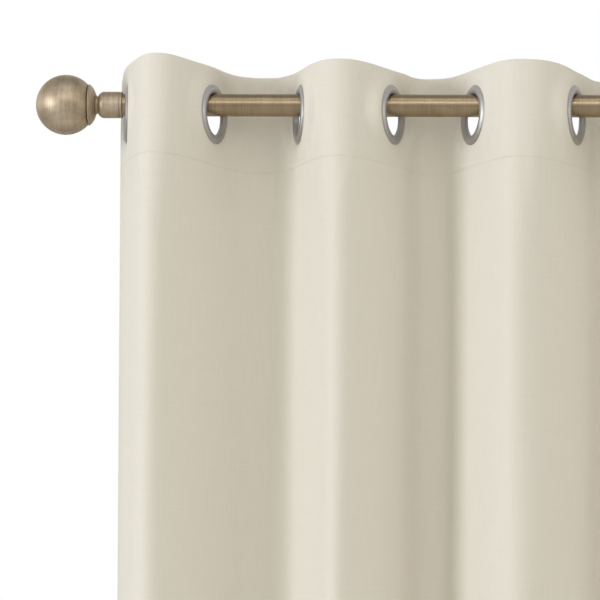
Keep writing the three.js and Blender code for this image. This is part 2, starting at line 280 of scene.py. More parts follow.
def mesh_object(name, verts, faces, material, smooth=True, sharp_deg=None, attrs=None, normals=None):
    me = bpy.data.meshes.new(name)
    me.from_pydata([tuple(v) for v in verts], [], [tuple(f) for f in faces])
    me.update()
    for key, values in (attrs or {}).items():
        at = me.attributes.new(key, "FLOAT_VECTOR", "POINT")
        at.data.foreach_set("vector", np.asarray(values, np.float32).ravel())
    me.polygons.foreach_set("use_smooth", [smooth] * len(me.polygons))
    if sharp_deg is not None:
        bm = bmesh.new()
        bm.from_mesh(me)
        lim = math.radians(sharp_deg)
        for e in bm.edges:
            if len(e.link_faces) == 2 and e.calc_face_angle(0.0) > lim:
                e.smooth = False
        bm.to_mesh(me)
        bm.free()
    if normals is not None:
        me.normals_split_custom_set([tuple(n) for n in normals])
    me.materials.append(material)
    ob = bpy.data.objects.new(name, me)
    bpy.context.scene.collection.objects.link(ob)
    return ob


def turned(name, profile, origin, axis, material, segments=96, sharp_deg=32, closed=True):
    """A piece turned about an axis. profile holds (radius, distance along the axis); closed joins its end to its start."""
    axis = Vector(axis).normalized()
    side = axis.orthogonal().normalized()
    up = axis.cross(side)
    verts, brush, rings = [], [], []
    run = 0.0
    for i, (r, h) in enumerate(profile):
        if i:
            run += math.hypot(r - profile[i - 1][0], h - profile[i - 1][1])
        c = Vector(origin) + axis * h
        if r < 1e-7:
            rings.append([len(verts)])
            verts.append(c)
            brush.append((run, 0, 0))
            continue
        ring = []
        for k in range(segments):
            a = 2 * math.pi * k / segments
            ca, sa = math.cos(a), math.sin(a)
            ring.append(len(verts))
            verts.append(c + side * (r * ca) + up * (r * sa))
            brush.append((run, r * ca, r * sa))
        rings.append(ring)
    faces = []
    pairs = list(zip(rings[:-1], rings[1:]))
    if closed and len(rings[0]) > 1 and len(rings[-1]) > 1:
        pairs.append((rings[-1], rings[0]))
    for a, b in pairs:
        for k in range(segments):
            n = (k + 1) % segments
            if len(a) == 1 and len(b) == 1:
                continue
            if len(a) == 1:
                faces.append((a[0], b[n], b[k]))
            elif len(b) == 1:
                faces.append((a[k], a[n], b[0]))
            else:
                faces.append((a[k], a[n], b[n], b[k]))
    area = 0.0
    for f in faces:  # signed volume, to point the faces out
        p = [verts[i] for i in f]
        for i in range(1, len(p) - 1):
            area += p[0].dot(p[i].cross(p[i + 1]))
    if area < 0:
        faces = [tuple(reversed(f)) for f in faces]
    return mesh_object(name, verts, faces, material, True, sharp_deg, {"brush": brush})


def rounded(points, radius, steps=4):
    """Rounds each corner of a profile that turns by more than 20 degrees."""
    out = [points[0]]
    for i in range(1, len(points) - 1):
        a, b, c = (Vector(points[i - 1]), Vector(points[i]), Vector(points[i + 1]))
        d1, d2 = (a - b), (c - b)
        if d1.length < 1e-9 or d2.length < 1e-9:
            out.append(points[i])
            continue
        turn = math.pi - d1.angle(d2)
        if turn < math.radians(20):
            out.append(points[i])
            continue
        r = min(radius, d1.length * 0.45, d2.length * 0.45)
        p0, p2 = b + d1.normalized() * r, b + d2.normalized() * r
        for s in range(steps + 1):
            t = s / steps
            q = p0 * (1 - t) ** 2 + b * (2 * t * (1 - t)) + p2 * t * t
            out.append((q.x, q.y))
    out.append(points[-1])
    return out


def brushed(ob, along="x"):
    """Gives a piece that wasn't turned the attribute its brushed metal reads."""
    me = ob.data
    co = np.zeros(len(me.vertices) * 3, np.float32)
    me.vertices.foreach_get("co", co)
    co = co.reshape(-1, 3)
    if along == "z":
        co = co[:, [2, 0, 1]]
    elif along == "y":
        co = co[:, [1, 0, 2]]
    at = me.attributes.get("brush") or me.attributes.new("brush", "FLOAT_VECTOR", "POINT")
    at.data.foreach_set("vector", np.ascontiguousarray(co).ravel())
    return ob


def extruded(name, outline, depth, place, material, bevel=0.6 * MM, segments=3, sharp_deg=35, corner_deg=25):
    """A flat outline (x, y) given a depth along its z, its sharp edges rounded, then placed by a matrix."""
    bm = bmesh.new()
    low = [bm.verts.new((x, y, 0)) for x, y in outline]
    high = [bm.verts.new((x, y, depth)) for x, y in outline]
    n = len(outline)
    bm.faces.new(list(reversed(low)))
    bm.faces.new(high)
    for i in range(n):
        j = (i + 1) % n
        bm.faces.new((low[i], low[j], high[j], high[i]))
    bmesh.ops.recalc_face_normals(bm, faces=bm.faces)
    edges = [e for e in bm.edges if e.calc_face_angle(0) > math.radians(corner_deg)]
    if bevel:
        bmesh.ops.bevel(bm, geom=edges, offset=bevel, segments=segments, profile=0.5, affect="EDGES", clamp_overlap=True)
    bm.transform(place)
    me = bpy.data.meshes.new(name)
    bm.to_mesh(me)
    bm.free()
    me.polygons.foreach_set("use_smooth", [True] * len(me.polygons))
    bm = bmesh.new()
    bm.from_mesh(me)
    for e in bm.edges:
        if len(e.link_faces) == 2 and e.calc_face_angle(0.0) > math.radians(sharp_deg):
            e.smooth = False
    bm.to_mesh(me)
    bm.free()
    me.materials.append(material)
    ob = bpy.data.objects.new(name, me)
    bpy.context.scene.collection.objects.link(ob)
    return brushed(ob)


# ---------------------------------------------------------------- the panels' plan


def half_to_crest(a, b, angle, flat, near, far, steps=40):
    """From a grommet to the next crest: flat past the grommet, then one smooth bend that ends along the rod."""
    c, s = math.cos(angle), math.sin(angle)
    p0 = (flat * c, flat * s)
    d = math.hypot(a - p0[0], b - p0[1])
    p1 = (p0[0] + near * d * c, p0[1] + near * d * s)
    p2 = (a - far * d, b)
    out = [(0.0, 0.0), p0]
    for i in range(1, steps + 1):
        t = i / steps
        q = 1 - t
        w = (q**3, 3 * q * q * t, 3 * q * t * t, t**3)
        out.append(
            (
                w[0] * p0[0] + w[1] * p1[0] + w[2] * p2[0] + w[3] * a,
                w[0] * p0[1] + w[1] * p1[1] + w[2] * p2[1] + w[3] * b,
            )
        )
    return out


def half_to_edge(angle, flat, turn, steps=24):
    out = [(0.0, 0.0), (flat * math.cos(angle), flat * math.sin(angle))]
    step = (EDGE_L - flat) / steps
    for i in range(steps):
        at = angle - turn * (i + 0.5) / steps
        x, y = out[-1]
        out.append((x + step * math.cos(at), y + step * math.sin(at)))
    return out


def smooth_line(p, sigma, step):
    """Gaussian smoothing of an evenly spaced line, its ends carried on straight."""
    n = int(4 * sigma / step)
    if n < 1:
        return p.copy()
    k = np.exp(-0.5 * (np.arange(-n, n + 1) * step / sigma) ** 2)
    k /= k.sum()
    head = p[0] - (p[1] - p[0]) * np.arange(n, 0, -1)[:, None]
    tail = p[-1] + (p[-1] - p[-2]) * np.arange(1, n + 1)[:, None]
    q = np.vstack([head, p, tail])
    return np.stack([np.convolve(q[:, i], k, "valid") for i in range(2)], 1)


# How the cloth relaxes away from the rings. Each crest moves along the rod (mm) and in depth (mm)
# from the fold's hinge, and each grommet's cloth stands at a gentler angle (degrees), gentler still
# where it falls free of the header.
RELAXED = {
    "left": {
        "angle": [77.0, 61.5, 64.5, 54.0, 56.0, 66.0, 62.0, 62.0],
        "fall": [77.0, 52.0, 50.5, 51.0, 50.0, 48.5, 50.0, 54.0],
        "top": ([-10.0, 3.5, -5.5, -6.5, -4.5, -9.0, -2.0], [-0.5, -2.5, 0.0, -4.5, 6.0, 9.0, 0.0]),
        "low": ([-14.5, 8.5, -6.0, 0.0, -8.5, -4.0, -2.0], [-1.0, -3.5, 2.0, 2.5, 3.0, 3.0, 1.0]),
        "lean": [0.0, -7.0, 3.0, 4.0, 0.0, 7.0, 0.0, 0.0],
        "out": 3.0,
    },
    "right": {
        "angle": [77.0, 61.0, 64.0, 60.0, 57.0, 64.0, 62.0, 62.0],
        "fall": [77.0, 52.0, 51.0, 52.0, 51.0, 49.5, 51.0, 54.0],
        "top": ([-6.0, 3.5, -3.0, -3.0, 2.0, 1.0, -2.0], [3.0, -1.5, 0.5, -1.0, 0.5, 0.0, 0.0]),
        "low": ([-8.0, 5.0, -3.0, -2.0, -1.0, 1.0, -2.0], [2.0, 0.0, 2.0, 0.0, 2.0, 0.0, 1.0]),
        "lean": [0.0, -3.0, 1.5, 2.0, -1.5, 2.5, 1.0, 0.0],
        "out": 2.5,
    },
}


class Plan:
    """The lines that a panel follows in plan, written as a left panel: at the rings, along the top edge, and lower down."""

    def __init__(self, side):
        m = 1 if side == "left" else -1
        self.side, self.m = side, m
        self.gx = []
        for k in range(8):
            lo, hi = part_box(f"{side}_grommet_{k + 1}")
            self.gx.append(m * (lo.x + hi.x) / 2)
        self.crest = []
        for k in range(1, 8):
            p = JOINT[f"{side}_fold_{k}"]["pos_m"]
            self.crest.append((m * p[0], p[1]))
        ang = [math.radians(a) for a in ANGLES[side]]
        soft = [math.radians(a) for a in RELAXED[side]["angle"]]
        self.ang = ang
        none = ([0.0] * 7, [0.0] * 7)
        rings = self.halves(ang, none, 29 * MM, (0.42, 0.5), (0.42, 0.5), None)
        length = [self.length(h) for h in rings]
        ends = np.concatenate([[0], np.cumsum(length)])
        self.width = float(ends[-1])
        self.gu = [float(ends[2 * k + 1]) for k in range(8)]
        self.cu = [0.0] + [float(ends[2 * k + 2]) for k in range(7)] + [self.width]
        n = int(round(self.width / (0.5 * MM)))
        self.u = np.linspace(0, self.width, n + 1)
        step = self.width / n
        top = self.halves(soft, RELAXED[side]["top"], 9 * MM, (0.60, 0.24), (0.46, 0.42), ((77.0, -0.05), (68.0, -0.3)))
        fall = [math.radians(a) for a in RELAXED[side]["fall"]]
        low = self.halves(fall, RELAXED[side]["low"], 5 * MM, (0.57, 0.17), (0.44, 0.40), ((77.0, -0.05), (70.0, -0.3)))
        self.ring = smooth_line(self.even(rings, ends), 3.0 * MM, step)
        self.top = smooth_line(self.even(top, ends), 3.5 * MM, step)
        self.low = smooth_line(self.even(low, ends), 3.6 * MM, step)
        self.mid = (self.gx[0] + self.gx[7]) / 2

    def halves(self, ang, moved, flat, front, back, edge):
        """Sixteen half sections, left to right. front and back hold the bends' reach for room-side and wall-side crests."""
        out = []
        for k in range(8):
            fw = 1 if k % 2 else -1
            g = self.gx[k]
            for end in (-1, 1):
                c = k - 1 if end < 0 else k
                if c < 0 or c > 6:
                    if edge is None:
                        h = half_to_edge(ang[k], flat, 0.35)
                    else:
                        at, turn = edge[0] if c < 0 else edge[1]
                        h = half_to_edge(math.radians(at), flat, turn)
                else:
                    a = end * (self.crest[c][0] + moved[0][c] * MM - g)
                    b = abs(self.crest[c][1] - ROD_Y) + moved[1][c] * MM
                    near, far = front if c % 2 == 0 else back
                    h = half_to_crest(a, b, ang[k], flat, near, far)
                pts = np.array([(g + end * x, ROD_Y + end * fw * y) for x, y in h])
                out.append(pts[::-1] if end < 0 else pts)
        return out

    @staticmethod
    def length(p):
        return float(np.hypot(*np.diff(p, axis=0).T).sum())

    def even(self, halves, ends):
        """Each half stretched onto its own stretch of u, so that rings and crests keep their places in the cloth."""
        out = np.zeros((len(self.u), 2))
        for i, p in enumerate(halves):
            s = np.concatenate([[0], np.cumsum(np.hypot(*np.diff(p, axis=0).T))])
            s = ends[i] + s / s[-1] * (ends[i + 1] - ends[i])
            on = (self.u >= ends[i] - 1e-12) & (self.u <= ends[i + 1] + 1e-12)
            for j in range(2):
                out[on, j] = np.interp(self.u[on], s, p[:, j])
        return out

    def at(self, u, which="ring"):
        p = getattr(self, which)
        return np.stack([np.interp(u, self.u, p[:, i]) for i in range(2)], -1)


def ease(x, a, b):
    t = np.clip((x - a) / (b - a), 0, 1)
    return t * t * (3 - 2 * t)


def surface(plan, u, v):
    """Middle surface of the cloth at flat coordinates u (across) and v (down from the top edge)."""
    seed = 0.0 if plan.side == "left" else 2.1
    u = np.asarray(u, float)
    v = np.asarray(v, float)
    near = np.full(np.broadcast(u, v).shape, 1.0)
    for g in plan.gu:
        near = np.minimum(near, np.hypot(u - g, v - V_RING))
    held = (1 - ease(near, 30 * MM, 46 * MM))[..., None]
    w = ease(v, 0.03, 0.19)[..., None]
    p = plan.at(u, "top") * (1 - w) + plan.at(u, "low") * w
    p = p * (1 - held) + plan.at(u) * held
    x, y = p[..., 0], p[..., 1]
    # over each ring the free top edge leans a little
    over = 1 - ease(v, 0, 18 * MM)
    for g, lean in zip(plan.gu, RELAXED[plan.side]["lean"]):
        y = y + over * lean * MM * np.exp(-(((u - g) / (30 * MM)) ** 2))
    # and the outer edge swings out past its ring, above and below it
    x = x - (1 - held[..., 0]) * RELAXED[plan.side]["out"] * MM * np.exp(-(((u - plan.gu[0]) / (36 * MM)) ** 2))
    # the folds wander a little and swell as they fall
    g = ease(v, 0.12, 1.5)
    x = x + g * 2.2 * MM * np.sin(2 * math.pi * (u / 0.41 + 0.35 * v) + seed + 0.7)
    y = y + g * 3.2 * MM * np.sin(2 * math.pi * (u / 0.53 - 0.55 * v) + 1.9 + seed)
    y = ROD_Y + (y - ROD_Y) * (1 + g * 0.06 * np.sin(2 * math.pi * u / 0.37 + 1.1 + seed))
    fall = np.maximum(v - 0.05, 0)
    x = plan.mid + (x - plan.mid) * (1 - TAPER * fall) + SHEAR * fall
    z = TOP_Z - v + 2.4 * MM * np.exp(-(((u - plan.cu[1]) / (26 * MM)) ** 2)) * (1 - ease(v, 0, 0.12))
    # long soft buckles that run down the flat sides of the folds
    b = ease(v, 0.16, 0.5)
    y = y + b * 0.7 * MM * np.sin(2 * math.pi * (u / 0.061 + 0.9 * v) + 3 * np.sin(2.3 * v + seed))
    # the header: creases that run from the rings towards the valleys and the stitched line's pucker
    for k in range(7):
        mid = (plan.gu[k] + plan.gu[k + 1]) / 2
        for du, v0, ang, length, wide, amp in CREASES[k % len(CREASES)]:
            cu, cv = u - (mid + du), v - v0
            c, s = math.cos(ang), math.sin(ang)
            along, across = cu * c + cv * s, -cu * s + cv * c
            ridge = amp * np.exp(-((along / length) ** 2)) * np.exp(-((across / wide) ** 2))
            y = y - ridge
    near = np.exp(-(((v - HEADER) / (9 * MM)) ** 2))
    y = y + near * 0.28 * MM * (np.sin(u * 2 * math.pi / 0.0173 + 0.5) + 0.6 * np.sin(u * 2 * math.pi / 0.0291))
    near = np.exp(-(((v - (DROP - HEM)) / (12 * MM)) ** 2))
    y = y + near * 0.35 * MM * (np.sin(u * 2 * math.pi / 0.021 + 1.5) + 0.6 * np.sin(u * 2 * math.pi / 0.033))
    return np.stack([x, y, z + 0 * x], -1)


# du from the crest, v, direction, half length, half width, height: a few per gap
CREASES = [
    [(-14 * MM, 118 * MM, 1.25, 30 * MM, 5 * MM, 0.7 * MM), (16 * MM, 98 * MM, 0.35, 26 * MM, 5 * MM, -0.5 * MM)],
    [(-14 * MM, 9 * MM, 0.94, 14 * MM, 5.2 * MM, 1.5 * MM), (12 * MM, 8 * MM, 2.14, 13 * MM, 5.0 * MM, -1.4 * MM), (1 * MM, 122 * MM, 1.45, 20 * MM, 3.5 * MM, 0.9 * MM)],
    [(12 * MM, 116 * MM, 1.9, 28 * MM, 5 * MM, 0.6 * MM), (-20 * MM, 30 * MM, 0.9, 20 * MM, 6 * MM, 0.4 * MM)],
    [(-20 * MM, 9 * MM, 0.8, 14 * MM, 5.4 * MM, -1.4 * MM), (4 * MM, 8 * MM, 2.2, 13 * MM, 5.2 * MM, 1.4 * MM), (-4 * MM, 121 * MM, 1.5, 18 * MM, 3.2 * MM, 0.9 * MM)],
    [(8 * MM, 96 * MM, 0.2, 24 * MM, 4.5 * MM, 0.6 * MM), (-18 * MM, 112 * MM, 1.3, 26 * MM, 5 * MM, -0.5 * MM)],
]


def lines(plan):
    """The grid's columns and rows in flat coordinates, with each grommet's patch marked."""
    e = [0, 0.25, 0.7, 1.6, 4, 8, 12, 15, 16.6, 17.6, 18.0, 18.4, 19.2, 19.8, 20.4, 21]
    left_edge = plan.gu[0] - SQUARE
    right_edge = plan.width - (plan.gu[7] + SQUARE)
    cols = [x * MM * left_edge / (21 * MM) for x in e]
    n = 16
    squares = []
    for k in range(8):
        a = plan.gu[k] - SQUARE
        squares.append(len(cols) - 1)
        for i in range(1, n + 1):
            cols.append(a + 2 * SQUARE * i / n)
        if k < 7:
            b, c = plan.gu[k] + SQUARE, plan.gu[k + 1] - SQUARE
            parts = max(8, int(round((c - b) / (3.9 * MM))))
            for i in range(1, parts + 1):
                cols.append(b + (c - b) * i / parts)
    end = plan.gu[7] + SQUARE
    cols += [end + right_edge * (1 - x / 21) for x in reversed(e[:-1])]
    v0, v1 = V_RING - SQUARE, V_RING + SQUARE
    rows = [0, 0.2 * MM, 0.55 * MM, 1.2 * MM, 3 * MM, 6.5 * MM]
    rows = [r for r in rows if r < v0 - 2 * MM] + [v0]
    top = len(rows) - 1
    for i in range(1, n + 1):
        rows.append(v0 + 2 * SQUARE * i / n)
    s = HEADER - 2 * MM  # stitch line
    rows += [s - 5 * MM, s - 2.2 * MM, s - 1.0 * MM, s - 0.45 * MM, s, s + 0.45 * MM, s + 1.0 * MM, s + 1.6 * MM, s + 2.2 * MM, s + 2.8 * MM, s + 5 * MM]
    rows = sorted(set(r for r in rows if r <= v1 + 1e-9 or r > v1 + 1.0 * MM))
    v = rows[-1]
    step = 4 * MM
    s2 = DROP - HEM
    while v + step < s2 - 6 * MM:
        v += step
        rows.append(v)
        step = min(step * 1.06, 13 * MM)
    rows += [s2 - 3 * MM, s2 - 1.2 * MM, s2 - 0.6 * MM, s2, s2 + 0.45 * MM, s2 + 1.2 * MM, s2 + 1.6 * MM, s2 + 2.0 * MM, s2 + 2.5 * MM, s2 + 6 * MM]
    v = rows[-1]
    while v + 11 * MM < DROP - 4 * MM:
        v += 10 * MM
        rows.append(v)
    rows += [DROP - 3 * MM, DROP - 1.3 * MM, DROP - 0.55 * MM, DROP - 0.2 * MM, DROP]
    return np.array(cols), np.array(rows), squares, top, n


def layer_offsets(plan, u, v):
    """How far the front and the back face stand from the middle surface."""
    r = 1.1 * MM
    d = np.minimum.reduce([u, plan.width - u, v, DROP - v])
    round_off = np.sqrt(np.clip(1 - (1 - np.clip(d / r, 0, 1)) ** 2, 0, 1))
    round_off = 0.12 + 0.88 * round_off
    band = 1 - ease(v, HEADER - 0.4 * MM, HEADER + 0.8 * MM)
    hem = ease(v, DROP - HEM + 1.4 * MM, DROP - HEM + 1.9 * MM)
    side = 1 - ease(np.minimum(u, plan.width - u), SIDE_HEM - 0.6 * MM, SIDE_HEM - 0.1 * MM)
    double = np.clip(np.maximum.reduce([band, hem, side * 0.9]), 0, 1)
    front = 0.45 * MM + 0.05 * MM * double
    back = 0.45 * MM + 0.85 * MM * double
    # thread sinks into the cloth along each stitched line
    sink = np.exp(-(((v - (HEADER - 2 * MM)) / (0.9 * MM)) ** 2))
    sink = np.maximum(sink, np.exp(-(((v - (DROP - HEM)) / (0.9 * MM)) ** 2)))
    sink = np.maximum(sink, np.exp(-(((np.minimum(u, plan.width - u) - 18 * MM) / (0.8 * MM)) ** 2)))
    front = (front - 0.08 * MM * sink) * round_off
    back = (back - 0.22 * MM * sink) * round_off
    return front, back


def normal_at(plan, u, v):
    h = 0.6 * MM
    du = surface(plan, u + h, v) - surface(plan, u - h, v)
    dv = surface(plan, u, v + h) - surface(plan, u, v - h)
    n = np.cross(dv, du)  # towards the room
    return n / np.linalg.norm(n, axis=-1, keepdims=True)


def faces_at(plan, u, v):
    """Points of the front and back faces, and the middle, at flat coordinates."""
    mid = surface(plan, u, v)
    n = normal_at(plan, u, v)
    f, b = layer_offsets(plan, u, v)
    return mid + n * f[..., None], mid - n * b[..., None], n


def placed(plan, p):
    """A left panel's point as it is on this side."""
    q = np.array(p, float)
    q[..., 0] *= plan.m
    return q


def build_panel(side):
    plan = Plan(side)
    cols, rows, squares, top, n = lines(plan)
    nc, nr = len(cols), len(rows)
    U, V = np.meshgrid(cols, rows)  # [row, column]
    flat = [np.stack([U.ravel(), V.ravel()], 1)]
    index = np.arange(nc * nr).reshape(nr, nc)
    in_patch = np.zeros((nr - 1, nc - 1), bool)
    inner = np.zeros((nr, nc), bool)
    quads = []
    extra = nc * nr
    holes = []
    fr = [0.0, 0.07, 0.17, 0.32, 0.5, 0.72, 1.0]
    hole = 24.6 * MM
    for k, c0 in enumerate(squares):
        r0 = top
        in_patch[r0 : r0 + n, c0 : c0 + n] = True
        inner[r0 + 1 : r0 + n, c0 + 1 : c0 + n] = True
        rim = (
            [(r0, c0 + i) for i in range(n)]
            + [(r0 + i, c0 + n) for i in range(n)]
            + [(r0 + n, c0 + n - i) for i in range(n)]
            + [(r0 + n - i, c0) for i in range(n)]
        )
        cu, cv = plan.gu[k], V_RING
        prev = None
        loops = []
        for f in fr[:-1]:
            ids, pts = [], []
            for r, c in rim:
                su, sv = cols[c] - cu, rows[r] - cv
                a = math.atan2(sv, su)
                hu, hv = hole * math.cos(a), hole * math.sin(a)
                pts.append((cu + hu + (su - hu) * f, cv + hv + (sv - hv) * f))
                ids.append(extra)
                extra += 1
            flat.append(np.array(pts))
            loops.append(ids)
        loops.append([int(index[r, c]) for r, c in rim])
        holes.append(loops[0])
        for a, b in zip(loops[:-1], loops[1:]):
            for i in range(len(a)):
                j = (i + 1) % len(a)
                quads.append((b[i], b[j], a[j], a[i], plan.gu[k]))
    for r in range(nr - 1):
        for c in range(nc - 1):
            if not in_patch[r, c]:
                quads.append((int(index[r, c]), int(index[r, c + 1]), int(index[r + 1, c + 1]), int(index[r + 1, c]), (cols[c] + cols[c + 1]) / 2))
    flat = np.vstack(flat)
    front, back, nrm = faces_at(plan, flat[:, 0], flat[:, 1])
    # face normals on each side, smoothed over the whole panel so that its pieces join without a line
    q = np.array([x[:4] for x in quads])
    where = np.array([x[4] for x in quads])

    def vertex_normals(p, flip):
        d1, d2 = p[q[:, 2]] - p[q[:, 0]], p[q[:, 3]] - p[q[:, 1]]
        fn = np.cross(d1, d2)
        out = np.zeros_like(p)
        for i in range(4):
            np.add.at(out, q[:, i], fn)
        out /= np.maximum(np.linalg.norm(out, axis=1, keepdims=True), 1e-12)
        if flip:
            out = -out
        return out

    nf = vertex_normals(front, False)
    if np.mean(np.sum(nf * nrm, 1)) < 0:
        nf = -nf
    nb = vertex_normals(back, False)
    if np.mean(np.sum(nb * nrm, 1)) > 0:
        nb = -nb
    cuts = [plan.gu[k] + SQUARE for k in range(1, 7)]
    bounds_u = [0.0] + cuts + [plan.width]
    cells = set()
    border = {}
    # which piece each quad belongs to
    piece = np.searchsorted(np.array(cuts), where - 1e-6)
    made = []
    for k in range(7):
        mine = q[piece == k]
        used = np.unique(mine)
        remap = -np.ones(len(flat), int)
        remap[used] = np.arange(len(used))
        m = remap[mine]
        nu = len(used)
        pf, pb = placed(plan, front[used]), placed(plan, back[used])
        verts = np.vstack([pf, pb])
        # orientation of the front quads: towards the room
        d1 = pf[m[:, 2]] - pf[m[:, 0]]
        d2 = pf[m[:, 3]] - pf[m[:, 1]]
        nn = placed(plan, nf[used])
        out = np.sum(np.cross(d1, d2) * nn[m[:, 0]], 1)
        fq = m.copy() if np.mean(out) > 0 else m[:, ::-1].copy()
        bq = fq[:, ::-1] + nu
        # open edges of the front layer become walls to the back layer
        edges = {}
        for f in fq:
            for i in range(4):
                a, b = int(f[i]), int(f[(i + 1) % 4])
                if (b, a) in edges:
                    del edges[(b, a)]
                else:
                    edges[(a, b)] = True
        walls = [(b, a, a + nu, b + nu) for a, b in edges]
        faces = [tuple(int(i) for i in f) for f in fq] + [tuple(int(i) for i in f) for f in bq] + walls
        nbp = placed(plan, nb[used])
        normals = []
        for f in fq:
            normals += [nn[i] for i in f]
        for f in bq:
            normals += [nbp[i - nu] for i in f]
        for a, b, c, d in walls:
            p = verts[[a, b, c, d]]
            w = np.cross(p[2] - p[0], p[3] - p[1])
            l = np.linalg.norm(w)
            w = w / l if l > 1e-12 else np.array([0, 0, 1.0])
            normals += [w] * 4
        fl = np.zeros((2 * nu, 3))
        fl[:nu, :2] = flat[used]
        fl[nu:, :2] = flat[used]
        fl[nu:, 2] = 1.0
        ob = mesh_object(f"{side}_panel_cloth_{k + 1}", verts, faces, CLOTH, True, None, {"flat": fl}, normals)
        made.append(ob)
        width = bounds_u[k + 1] - bounds_u[k]
        ob["flat_width"] = float(width)
    return plan, made


def stitch_mesh(name, plan, runs):
    """Short threads laid on the cloth. runs holds (u, v, direction in the flat, face, length) for each stitch."""
    verts, faces, fl = [], [], []
    r = 0.30 * MM
    sides = 6
    for u, v, du, dv, face, length in runs:
        ts = [-0.5, -0.38, 0.0, 0.38, 0.5]
        us = np.array([u + du * length * t for t in ts])
        vs = np.array([v + dv * length * t for t in ts])
        f, b, n = faces_at(plan, us, vs)
        p = f if face == "front" else b
        n = n if face == "front" else -n
        lift = np.array([-0.10, 0.08, 0.16, 0.08, -0.10])[:, None] * MM
        p = p + n * lift
        fat = [0.35, 0.9, 1.0, 0.9, 0.35]
        tang = np.gradient(p, axis=0)
        tang /= np.linalg.norm(tang, axis=1, keepdims=True)
        side = np.cross(tang, n)
        side /= np.linalg.norm(side, axis=1, keepdims=True)
        up = np.cross(side, tang)
        base = len(verts)
        for i in range(len(ts)):
            for s in range(sides):
                a = 2 * math.pi * s / sides
                q = p[i] + (side[i] * math.cos(a) * 1.15 + up[i] * math.sin(a) * 0.8) * r * fat[i]
                verts.append(placed(plan, q))
                fl.append((us[i] + r * math.cos(a), vs[i], 0.0))
        for i in range(len(ts) - 1):
            for s in range(sides):
                t = (s + 1) % sides
                a, b_, c, d = base + i * sides + s, base + i * sides + t, base + (i + 1) * sides + t, base + (i + 1) * sides + s
                faces.append((a, b_, c, d))
        faces.append(tuple(base + s for s in reversed(range(sides))))
        faces.append(tuple(base + (len(ts) - 1) * sides + s for s in range(sides)))
    if plan.m < 0:
        faces = [tuple(reversed(f)) for f in faces]
    # point them out: check one tube's signed volume
    vol = 0.0
    V = np.array(verts[: sides * 5])
    for f in faces[: (sides * 4 + 2)]:
        for i in range(1, len(f) - 1):
            vol += float(np.dot(V[f[0]], np.cross(V[f[i]], V[f[i + 1]])))
    if vol < 0:
        faces = [tuple(reversed(f)) for f in faces]
    return mesh_object(name, verts, faces, THREAD, True, None, {"flat": fl})


def stitch_runs(plan, u0, u1):
    runs = []
    pitch, length = 3.6 * MM, 2.7 * MM
    first = math.ceil((u0 + 0.5 * length) / pitch) * pitch
    u = first
    while u < u1 - 0.5 * length:
        if 3 * MM < u < plan.width - 3 * MM:
            for vv in (HEADER - 2 * MM, DROP - HEM):
                runs.append((u, vv, 1.0, 0.0, "front", length))
                runs.append((u + pitch / 2 if u + pitch / 2 < u1 - length else u, vv, 1.0, 0.0, "back", length))
        u += pitch
    for edge, use in ((18 * MM, u0 < 18 * MM < u1), (plan.width - 18 * MM, u0 < plan.width - 18 * MM <= u1)):
        if use:
            v = 4 * MM
            while v < DROP - 3 * MM:
                runs.append((edge, v, 0.0, 1.0, "front", length))
                runs.append((edge, v + pitch / 2, 0.0, 1.0, "back", length))
                v += pitch
    return runs


def ring_profiles():
    """Front and back rings: (radius, height over the cloth's middle). A rounded crown and a thin flat rim."""
    mm = MM
    front = [(20.32, -1.30), (20.32, 0.9), (20.45, 1.45), (20.85, 2.05), (21.6, 2.60), (22.6, 2.95), (23.8, 3.10), (25.0, 2.98), (26.1, 2.62), (27.0, 2.02), (27.55, 1.45), (27.85, 1.16), (28.2, 1.08), (28.9, 1.05), (29.25, 0.98), (29.40, 0.80), (29.30, 0.62), (28.9, 0.56), (24.0, 0.56), (23.6, 0.40), (23.5, -1.30)]
    back = [(20.36, -1.36), (20.36, -1.8), (20.5, -2.3), (20.95, -2.85), (21.8, -3.25), (23.2, -3.42), (25.0, -3.30), (26.6, -2.9), (27.8, -2.35), (28.7, -1.85), (29.2, -1.62), (29.32, -1.48), (29.2, -1.36), (24.2, -1.33)]
    return [(r * mm, h * mm) for r, h in front], [(r * mm, h * mm) for r, h in back]


